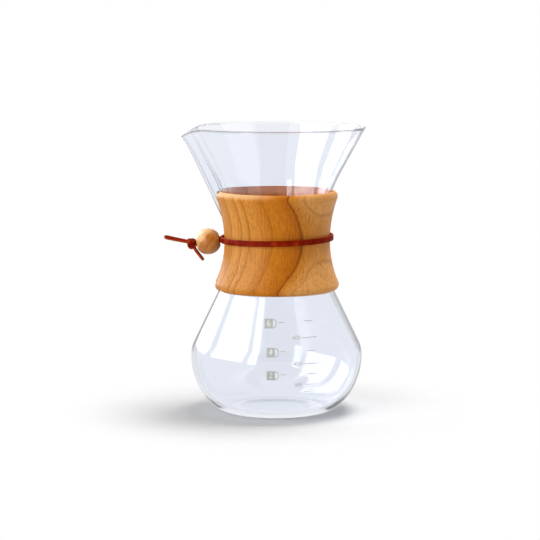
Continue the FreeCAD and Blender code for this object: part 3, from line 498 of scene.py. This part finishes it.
def print_scale():
    """Cup tags in the middle, and measuring lines to the right of them with every second figure."""
    box_width, box_half, cup_size = 6.2, 3.4, 6.2
    handle_left, handle_half = 6.5, 3.8
    dash_left, dash_right, dash_low, dash_high = 10.4, 14.4, 0.6, 1.0
    line_half, figure_left, figure_size = 0.2, 4.7, 4.1
    bulb_radius = 64
    grey, pale = ([], []), ([], [])
    for cups, left, z in (("6", -8.9, 74.7), ("4", -7.3, 54.3), ("2", -7.3, 37.3)):
        ink_bar(grey, left, left + box_width, z - box_half, z + box_half)
        ink_handle(grey, left + handle_left, z, handle_half)
        ink_bar(grey, left + dash_left, left + dash_right, z + dash_low, z + dash_high)
        # The pale figure lies on the grey box
        raised = ([], [])
        ink_text(raised, cups, left + box_width / 2, z, cup_size)
        start = len(pale[0])
        pale[0].extend(point * (1 + INK_DEPTH / bulb_radius) for point in raised[0])
        pale[1].extend([start + index for index in face] for face in raised[1])
    for figure, left, right, z in (
        ("", 20.5, 27.1, 76.1),
        ("600", 19.7, 30.0, 64.5),
        ("", 22.4, 28.4, 55.0),
        ("400", 20.5, 31.9, 45.8),
        ("", 22.6, 29.6, 38.2),
        ("200", 21.2, 29.3, 30.0),
        ("", 20.6, 29.3, 24.3),
    ):
        ink_bar(grey, left, right, z - line_half, z + line_half)
        if figure:
            ink_text(grey, figure, left - figure_left, z, figure_size)
    grey_ink = ceramic_ink("grey_ceramic_ink", "#A4A6A1", "#BCBEB9")
    pale_ink = ceramic_ink("pale_ceramic_ink", "#E6E8E4", "#D6D8D2")
    for name, (corners, faces), ink in (
        ("scale_marks", grey, grey_ink),
        ("scale_cup_figures", pale, pale_ink),
    ):
        piece = new_piece(name, corners, faces, ink, smooth=False)
        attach(piece, "carafe")


print_scale()

# Wood


def turned_wood(name, middle, facing, pith, rings, wander, fibre, tones, gloss, top_highlight):
    """Turned wood with a clear finish: growth layers that the lathe cuts into long curved lines.

    The layers are square to the direction facing, and curve round the pith, that far behind the
    middle. Each ring is a place past the middle, how far the tone falls to it, and three colours:
    the tones before, on and after its line. Wander is how far the layers stray, and fibre is how
    wide the fine streaks are, all in millimetres. Tones are the wood's first colour and its pores'.
    Gloss is the finish's roughness and specular level. Top_highlight gives the heights where a
    painted highlight on the top begins and where it is full; it is painted on the side towards the
    light.
    """
    reach = 60.0
    stray_width, stray_length = 28 * MM, 50 * MM
    line_before, line_after = 0.8, 0.7
    streak_length, pore_length = 26, 5
    # Painted highlight on the top: the side towards the light, and where along it the highlight
    # starts and is full, in millimetres
    lit_side, lit_from, lit_full = (-0.8, -0.6, 0.0), 27, 44
    rough, shine = gloss
    highlight_low, highlight_high = top_highlight
    tone, fleck = tones
    material, tree = new_material(name)
    where = add(tree, "ShaderNodeTexCoord")
    place = where.outputs["Object"]
    slow_scale = (1 / stray_width, 1 / stray_width, 1 / stray_length)
    slow = add(tree, "ShaderNodeMapping", {"Vector": place, "Scale": slow_scale})
    stray = add(
        tree, "ShaderNodeTexNoise", {"Vector": slow.outputs[0], "Scale": 1.0, "Detail": 2.0}
    )
    pith_place = (Vector(middle) - Vector(facing).normalized() * pith) * MM
    from_pith = add(tree, "ShaderNodeVectorMath", {0: place, 1: pith_place}, operation="DISTANCE")
    across = add(
        tree,
        "ShaderNodeMath",
        {
            0: from_pith.outputs["Value"],
            1: 1 / (2 * reach * MM),
            2: (reach - pith - wander) / (2 * reach),
        },
        operation="MULTIPLY_ADD",
    )
    along = add(
        tree,
        "ShaderNodeMath",
        {0: stray.outputs[0], 1: wander / reach, 2: across.outputs[0]},
        operation="MULTIPLY_ADD",
    )
    stops = [(0.0, tone)]
    for ring, fall, before, line, after in rings:
        ring_stops = (-fall, tone), (-line_before, before), (0.0, line), (line_after, after)
        for step, colour in ring_stops:
            stops.append((0.5 + (ring + step) / (2 * reach), colour))
        tone = after
    layers = add(tree, "ShaderNodeValToRGB", {"Fac": along.outputs[0]}, stops=stops)
    # Fibres and pores are about a tenth of a millimetre wide, and drawn coarser so that they show.
    # Their lengths are counted in widths.
    fine = 1 / (fibre * MM)
    streak_scale, pore_scale = ((fine, fine, fine / long) for long in (streak_length, pore_length))
    drawn = add(tree, "ShaderNodeMapping", {"Vector": place, "Scale": streak_scale})
    streaks = add(
        tree, "ShaderNodeTexNoise", {"Vector": drawn.outputs[0], "Scale": 1.0, "Detail": 4.0}
    )
    streaky = add(
        tree,
        "ShaderNodeValToRGB",
        {"Fac": streaks.outputs[0]},
        stops=[(0.3, "#E0D2BE"), (0.62, "#FFFFFF")],
    )
    toned = add(
        tree,
        "ShaderNodeMix",
        {0: 1.0, 6: layers.outputs["Color"], 7: streaky.outputs["Color"]},
        data_type="RGBA",
        blend_type="MULTIPLY",
    )
    short = add(tree, "ShaderNodeMapping", {"Vector": place, "Scale": pore_scale})
    pores = add(
        tree, "ShaderNodeTexNoise", {"Vector": short.outputs[0], "Scale": 1.0, "Detail": 1.0}
    )
    flecks = add(
        tree,
        "ShaderNodeMapRange",
        {0: pores.outputs[0], 1: 0.62, 2: 0.74, 4: 0.5},
    )
    flecked = add(
        tree,
        "ShaderNodeMix",
        {0: flecks.outputs[0], 6: toned.outputs[2], 7: linear(fleck)},
        data_type="RGBA",
    )
    # Painted highlight: the top edge is painted pale on the front left, the side towards the light
    height = add(tree, "ShaderNodeSeparateXYZ", {0: place}).outputs["Z"]
    highlight_band = add(
        tree,
        "ShaderNodeMapRange",
        {0: height, 1: highlight_low * MM, 2: highlight_high * MM},
        interpolation_type="SMOOTHSTEP",
    )
    toward_lit_side = add(
        tree, "ShaderNodeVectorMath", {0: place, 1: lit_side}, operation="DOT_PRODUCT"
    )
    lit_share = add(
        tree,
        "ShaderNodeMapRange",
        {0: toward_lit_side.outputs["Value"], 1: lit_from * MM, 2: lit_full * MM, 4: 0.5},
    )
    highlight_mask = add(
        tree, "ShaderNodeMath", {0: highlight_band.outputs[0], 1: lit_share.outputs[0]}, operation="MULTIPLY"
    )
    wear_and_highlight = add(
        tree,
        "ShaderNodeMix",
        {0: highlight_mask.outputs[0], 6: flecked.outputs[2], 7: linear("#EBC48C")},
        data_type="RGBA",
    )
    # Painted shade: inside the bore, where faces look towards the middle, the colour is painted
    # deeper and darker
    outward = add(
        tree, "ShaderNodeVectorMath", {0: place, 1: Vector(middle) * MM}, operation="SUBTRACT"
    )
    faces_out = add(
        tree,
        "ShaderNodeVectorMath",
        {0: outward.outputs[0], 1: where.outputs["Normal"]},
        operation="DOT_PRODUCT",
    )
    bore_shade_mask = add(
        tree,
        "ShaderNodeMapRange",
        {0: faces_out.outputs["Value"], 1: -2 * MM, 2: -10 * MM},
    )
    bore_shaded = add(
        tree,
        "ShaderNodeMix",
        {0: bore_shade_mask.outputs[0], 6: wear_and_highlight.outputs[2], 7: linear("#FFD08A")},
        data_type="RGBA",
        blend_type="MULTIPLY",
    )
    grain = add(
        tree,
        "ShaderNodeBump",
        {"Height": streaks.outputs[0], "Strength": 0.25, "Distance": 0.15 * MM},
    )
    body = add(
        tree,
        "ShaderNodeBsdfPrincipled",
        {
            "Base Color": bore_shaded.outputs[2],
            "Roughness": rough,
            "Specular IOR Level": shine,
            "Normal": grain.outputs[0],
        },
    )
    add(tree, "ShaderNodeOutputMaterial", {"Surface": body.outputs["BSDF"]})
    return material


# Oiled cherry: warm orange-brown with darker growth lines, and a dull sheen
CHERRY_RINGS = (
    (-32.0, 9.0, "#BE7424", "#9A5A1C", "#D49040"),
    (-10.5, 8.0, "#CB8534", "#AE6C24", "#D69444"),
    (0.1, 5.0, "#CB8534", "#A86520", "#D69444"),
    (6.3, 4.0, "#C98230", "#A8651E", "#D08A38"),
    (22.1, 9.0, "#C2761A", "#AE681C", "#C87A1A"),
    (36.4, 9.0, "#BA680C", "#7E3D06", "#CC822A"),
    # The last ring's pale tones on the right are partly the cherry's own paler zone and partly
    # painted light on that side
    (43.0, 5.0, "#DC9A50", "#C48440", "#E2A25A"),
)
cherry = turned_wood(
    "oiled_cherry",
    middle=(0, 0, 133),
    facing=(0.87, -0.5, -0.06),
    pith=120.0,
    rings=CHERRY_RINGS,
    wander=3.0,
    fibre=0.9,
    tones=("#D08A38", "#8A4C12"),
    gloss=(0.4, 0.1),
    top_highlight=(165.6, 168.6),
)
for half in ("collar_front", "collar_back"):
    finish_node(half, cherry)

# Varnished maple: honey-coloured, and glossier than the collar. Its layers run from pale at the
# upper left to deep orange at the lower right, partly its own tone and partly painted light from
# the left and painted shade at the lower right. Its top is painted pale as a highlight.
MAPLE_RINGS = (
    (-5.0, 3.0, "#EFC894", "#E6BC84", "#EBC28A"),
    (-1.5, 3.0, "#DDA860", "#D29A50", "#D8A258"),
    (2.0, 2.5, "#C07A22", "#AE6614", "#B87018"),
    (6.0, 3.0, "#B86C14", "#A85C10", "#C48238"),
)
maple = turned_wood(
    "varnished_maple",
    middle=(-52.3, 0, 130.7),
    facing=(0.75, -0.35, -0.55),
    pith=32.5,
    rings=MAPLE_RINGS,
    wander=1.5,
    fibre=0.7,
    tones=("#F2D0A0", "#B87A38"),
    gloss=(0.3, 0.45),
    top_highlight=(136.0, 141.0),
)
finish_node("bead", maple)

# Leather thong, in millimetres from the tie's own middle, which sags towards the bead

TIE = Matrix.Translation((0, 0, 133.4 * MM)) @ Matrix.Rotation(math.radians(-1.2), 4, "Y")
UP, ACROSS, LENGTHWISE = Vector((0, 0, 1)), Vector((0, 1, 0)), Vector((1, 0, 0))
THONG_WIDTH, THONG_THICKNESS = 4.4, 2.0
KNOT_WIDTH, KNOT_THICKNESS, LONG_END_WIDTH, SHORT_END_WIDTH = 3.2, 1.9, 3.9, 3.8
# How the free ends lie, turned from flat, in radians
LONG_END_TURN, LONG_END_TWIST, SHORT_END_TURN = 0.3, 0.2, 0.2
KNOT = Vector((-65.08, 0, -2.99))


def vegetable_tanned_leather():
    """Vegetable-tanned lace, cut from a smooth red-brown hide: pebbled skin and paler cut edges.

    The skin's pebbles are drawn 0.8 mm wide, coarser than real ones, so that they show.
    """
    patch, pebble = 6 * MM, 0.8 * MM
    material, tree = new_material("vegetable_tanned_leather")
    place = add(tree, "ShaderNodeTexCoord").outputs["Object"]
    patches = add(tree, "ShaderNodeTexNoise", {"Vector": place, "Scale": 1 / patch, "Detail": 3.0})
    skin = add(
        tree,
        "ShaderNodeValToRGB",
        {"Fac": patches.outputs[0]},
        stops=[(0.3, "#660A00"), (0.55, "#841A03"), (0.75, "#AC3C0C")],
    )
    cut = add(tree, "ShaderNodeAttribute", attribute_name="cut_edge")
    edged = add(
        tree,
        "ShaderNodeMix",
        {0: cut.outputs["Fac"], 6: skin.outputs["Color"], 7: linear("#A63E14")},
        data_type="RGBA",
    )
    pebbles = add(tree, "ShaderNodeTexVoronoi", {"Vector": place, "Scale": 1 / pebble})
    grain = add(
        tree,
        "ShaderNodeBump",
        {"Height": pebbles.outputs["Distance"], "Strength": 0.35, "Distance": 0.12 * MM},
    )
    body = add(
        tree,
        "ShaderNodeBsdfPrincipled",
        {
            "Base Color": edged.outputs[2],
            "Roughness": 0.55,
            "Specular IOR Level": 0.03,
            "Normal": grain.outputs[0],
        },
    )
    add(tree, "ShaderNodeOutputMaterial", {"Surface": body.outputs["BSDF"]})
    return material


leather = vegetable_tanned_leather()


def smooth_route(points, cyclic=False):
    """The points of a NURBS curve through the tie's space, in millimetres."""
    curve = bpy.data.curves.new("route", "CURVE")
    curve.dimensions = "3D"
    curve.resolution_u = 6
    spline = curve.splines.new("NURBS")
    spline.points.add(len(points) - 1)
    for control, point in zip(spline.points, points):
        control.co = (*point, 1.0)
    spline.order_u = 3
    spline.use_cyclic_u = cyclic
    spline.use_endpoint_u = not cyclic
    mesh = mesh_of(curve)
    line = [vertex.co.copy() for vertex in mesh.vertices]
    bpy.data.meshes.remove(mesh)
    return line


def lace(name, node, line, wide_at, width, thickness, cyclic=False, blunt=False):
    """A flat lace with soft edges along a line, in place of a CAD node.

    Wide_at gives the way its width lies at each share of the line. A blunt lace is pinched at its
    end: pinched gives the share of its width that is left, by rows from the end.
    """
    around, softness, edge_from, pinched = 20, 0.4, 0.97, {0: 0.55, 1: 0.86}
    corners, faces, cut_edge = [], [], []
    last = len(line) - 1
    for count, point in enumerate(line):
        before = line[count - 1] if count or cyclic else line[0]
        after = line[(count + 1) % len(line)] if count < last or cyclic else line[last]
        along = (after - before).normalized()
        wide = wide_at(count / last)
        wide = (wide - along * wide.dot(along)).normalized()
        thin = along.cross(wide)
        from_end = last - count if blunt else last
        pinch = pinched.get(from_end, 1.0)
        for step in range(around):
            turn = 2 * math.pi * step / around
            u = math.copysign(abs(math.cos(turn)) ** softness, math.cos(turn))
            v = math.copysign(abs(math.sin(turn)) ** softness, math.sin(turn))
            corner = point + wide * (u * pinch * width / 2) + thin * (v * pinch * thickness / 2)
            corners.append(TIE @ (corner * MM))
            cut_edge.append(1.0 if abs(u) > edge_from or from_end == 0 else 0.0)
    rows = len(line) if cyclic else last
    for row in range(rows):
        following = (row + 1) % len(line)
        for step in range(around):
            beside = (step + 1) % around
            near, far = row * around, following * around
            faces.append((near + step, near + beside, far + beside, far + step))
    if not cyclic:
        faces.append(tuple(reversed(range(around))))
        faces.append(tuple(range(last * around, last * around + around)))
    piece = new_piece(name, corners, faces, leather)
    mark_corners(piece, "cut_edge", cut_edge)
    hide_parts(node)
    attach(piece, "tie")


def loop_route():
    """From inside the knot through the bead, round the collar's waist and back.

    The curve cuts inside its points, so those round the waist lie on a wider ring.
    """
    waist_radius, cut_inside, strand = 42.35, 0.9809, 1.1
    ring, ring_start, ring_step, ring_points = waist_radius / cut_inside, 186, 15.82, 21
    out = [
        (KNOT.x + 1, KNOT.z),
        (-61.3, -3.0),
        (-56.8, -2.28),
        (-52.3, -1.57),
        (-47.9, -0.87),
        (-45.0, -0.4),
    ]
    front = [Vector((x, -strand, z)) for x, z in out]
    # Past the bead the two strands part
    front.append(Vector((-42.4, -2.0, -0.05)))
    turns = [math.radians(ring_start + ring_step * step) for step in range(1, ring_points + 1)]
    round_waist = [Vector((ring * math.cos(t), ring * math.sin(t), 0)) for t in turns]
    back = [Vector((p.x, -p.y, p.z)) for p in reversed(front)]
    return smooth_route(front + round_waist + back)


lace("thong_loop", "tie_loop", loop_route(), lambda share: UP, THONG_WIDTH, THONG_THICKNESS)


def knot_route():
    """An overhand knot drawn tight: a trefoil across the thong's way."""
    steps, swell, lift, deep, lean = 24, 1.25, 0.3, 1.6, 1.0
    points = []
    for step in range(steps):
        t = 2 * math.pi * step / steps
        x = deep * math.sin(3 * t) - lean * math.cos(3 * t)
        y = swell * (math.sin(t) + 2 * math.sin(2 * t))
        z = swell * (math.cos(t) - 2 * math.cos(2 * t)) + lift
        points.append(KNOT + Vector((x, y, z)))
    return smooth_route(points, cyclic=True)


lace(
    "thong_knot",
    "tie_knot",
    knot_route(),
    lambda share: LENGTHWISE,
    KNOT_WIDTH,
    KNOT_THICKNESS,
    cyclic=True,
)


def turned(side, towards, angle):
    """A direction turned towards another that is square to it."""
    return side * math.cos(angle) + towards * math.sin(angle)


# The free ends' routes, from the knot's middle
LONG_END = (
    (1, 0, 0.6),
    (-3.8, 0, 1.8),
    (-8, 0.2, 2.6),
    (-12.5, 0.4, 3.6),
    (-17.5, 0.2, 4.8),
    (-20.8, -0.4, 5.7),
)
SHORT_END = (
    (1.4, 0, -1.2),
    (2.5, 0, -4.5),
    (4.6, 0.2, -7.3),
    (6.8, 0.3, -10.2),
    (8.9, 0.2, -13.1),
)
lace(
    "thong_long_end",
    "tie_long_tail",
    smooth_route([KNOT + Vector(point) for point in LONG_END]),
    lambda share: turned(ACROSS, UP, LONG_END_TURN + LONG_END_TWIST * share),
    LONG_END_WIDTH,
    THONG_THICKNESS,
    blunt=True,
)
lace(
    "thong_short_end",
    "tie_short_tail",
    smooth_route([KNOT + Vector(point) for point in SHORT_END]),
    lambda share: turned(ACROSS, LENGTHWISE, SHORT_END_TURN),
    SHORT_END_WIDTH,
    THONG_THICKNESS,
    blunt=True,
)

# Floor, background, lights and camera


def seen_or_mirrored(tree):
    """Three sockets: is it a ray of the eye, is it one of mirrors or glass, is it any of these."""
    path = add(tree, "ShaderNodeLightPath")
    mirrored = add(
        tree,
        "ShaderNodeMath",
        {0: path.outputs["Is Glossy Ray"], 1: path.outputs["Is Transmission Ray"]},
        operation="MAXIMUM",
    )
    seen = add(
        tree,
        "ShaderNodeMath",
        {0: mirrored.outputs[0], 1: path.outputs["Is Camera Ray"]},
        operation="MAXIMUM",
    )
    return path.outputs["Is Camera Ray"], mirrored.outputs[0], seen.outputs[0]


def make_world():
    """White to the eye, in gloss and in glass, and a soft fill on everything else."""
    world = bpy.data.worlds.new("studio")
    scene.world = world
    world.use_nodes = True
    tree = world.node_tree
    tree.nodes.clear()
    _, _, seen = seen_or_mirrored(tree)
    fill = add(tree, "ShaderNodeBackground", {"Color": linear("#FFFFFF"), "Strength": 0.4})
    white = add(tree, "ShaderNodeBackground", {"Color": linear("#FFFFFF"), "Strength": 1.0})
    mixed = add(
        tree,
        "ShaderNodeMixShader",
        {0: seen, 1: fill.outputs["Background"], 2: white.outputs["Background"]},
    )
    add(tree, "ShaderNodeOutputWorld", {"Surface": mixed.outputs["Shader"]})


def make_floor():
    """White paper that keeps the carafe's shadow near it.

    Further off, and in gloss and glass, it is plain white.
    """
    half, shadow_kept, all_white = 3.0, 0.07, 0.17
    material, tree = new_material("white_paper")
    camera_ray, mirrored, _ = seen_or_mirrored(tree)
    place = add(tree, "ShaderNodeTexCoord").outputs["Object"]
    distance = add(tree, "ShaderNodeVectorMath", {0: place}, operation="LENGTH")
    far = add(
        tree,
        "ShaderNodeMapRange",
        {0: distance.outputs["Value"], 1: shadow_kept, 2: all_white},
        interpolation_type="SMOOTHSTEP",
    )
    eye_far = add(
        tree, "ShaderNodeMath", {0: far.outputs[0], 1: camera_ray}, operation="MULTIPLY"
    )
    plain = add(tree, "ShaderNodeMath", {0: eye_far.outputs[0], 1: mirrored}, operation="MAXIMUM")
    paper = add(tree, "ShaderNodeBsdfDiffuse", {"Color": linear("#D4D4D4")})
    white = add(tree, "ShaderNodeEmission", {"Color": linear("#FFFFFF"), "Strength": 1.0})
    mixed = add(
        tree,
        "ShaderNodeMixShader",
        {0: plain.outputs[0], 1: paper.outputs["BSDF"], 2: white.outputs["Emission"]},
    )
    add(tree, "ShaderNodeOutputMaterial", {"Surface": mixed.outputs["Shader"]})
    corners = [(-half, -half, 0), (half, -half, 0), (half, half, 0), (-half, half, 0)]
    new_piece("floor", corners, [(0, 1, 2, 3)], material)


def soft_light(name, place, width, power):
    """A square soft box that lights the object's middle but doesn't show in it."""
    middle = Vector((0, 0, 0.12))
    light = bpy.data.lights.new(name, "AREA")
    light.shape = "SQUARE"
    light.size = width
    light.energy = power
    lamp = bpy.data.objects.new(name, light)
    lamp.location = place
    lamp.rotation_euler = (middle - Vector(place)).to_track_quat("-Z", "Y").to_euler()
    lamp.visible_camera = False
    lamp.visible_glossy = False
    lamp.visible_transmission = False
    scene.collection.objects.link(lamp)


def upright_card(name, left, right, low, high, strength, away=1.3):
    """A window pane or dim flag that shows in gloss and glass alone.

    Its sides are bearings from the front, to the right, in degrees. Low and high are heights, and
    away is how far off it stands, in metres.
    """
    material, tree = new_material(name)
    glow = add(tree, "ShaderNodeEmission", {"Color": linear("#FFFFFF"), "Strength": strength})
    add(tree, "ShaderNodeOutputMaterial", {"Surface": glow.outputs["Emission"]})
    bearings = [math.radians(left), math.radians(right)]
    feet = [(away * math.sin(b), -away * math.cos(b)) for b in bearings]
    corners = [(*feet[0], low), (*feet[1], low), (*feet[1], high), (*feet[0], high)]
    pane = new_piece(name, corners, [(0, 1, 2, 3)], material)
    pane.visible_camera = False
    pane.visible_diffuse = False
    pane.visible_shadow = False


def make_camera():
    """A long lens from the front, a little above the object."""
    tilt = math.radians(6.94)
    distance = 1.778
    aim_height = 0.1086
    data = bpy.data.cameras.new("camera")
    data.sensor_width = 36.0
    data.lens = 154.5
    data.shift_x = -0.0119
    camera = bpy.data.objects.new("camera", data)
    camera.location = (0, -distance * math.cos(tilt), aim_height + distance * math.sin(tilt))
    camera.rotation_euler = (math.pi / 2 - tilt, 0, 0)
    scene.collection.objects.link(camera)
    scene.camera = camera


make_world()
make_floor()
soft_light("overhead", (0.27, 0.17, 1.15), 0.6, 12.8)
soft_light("front_left", (-1.2, -1.3, 0.9), 1.4, 24.0)
upright_card("window_far", -150, -112, 0.15, 2.6, 6.0)
upright_card("window_middle", -98, -46, 0.15, 2.6, 6.0)
upright_card("window_near", -38, -27, 0.0, 1.3, 6.0)
upright_card("window_right", 40, 96, 0.9, 1.8, 1.7)
upright_card("dark_room", -24, 38, 0.25, 3.0, 0.3)
upright_card("flag_left", -163, -146, 0.0, 0.7, 0.62, away=0.5)
upright_card("flag_right", 146, 163, 0.0, 0.7, 0.62, away=0.5)
make_camera()
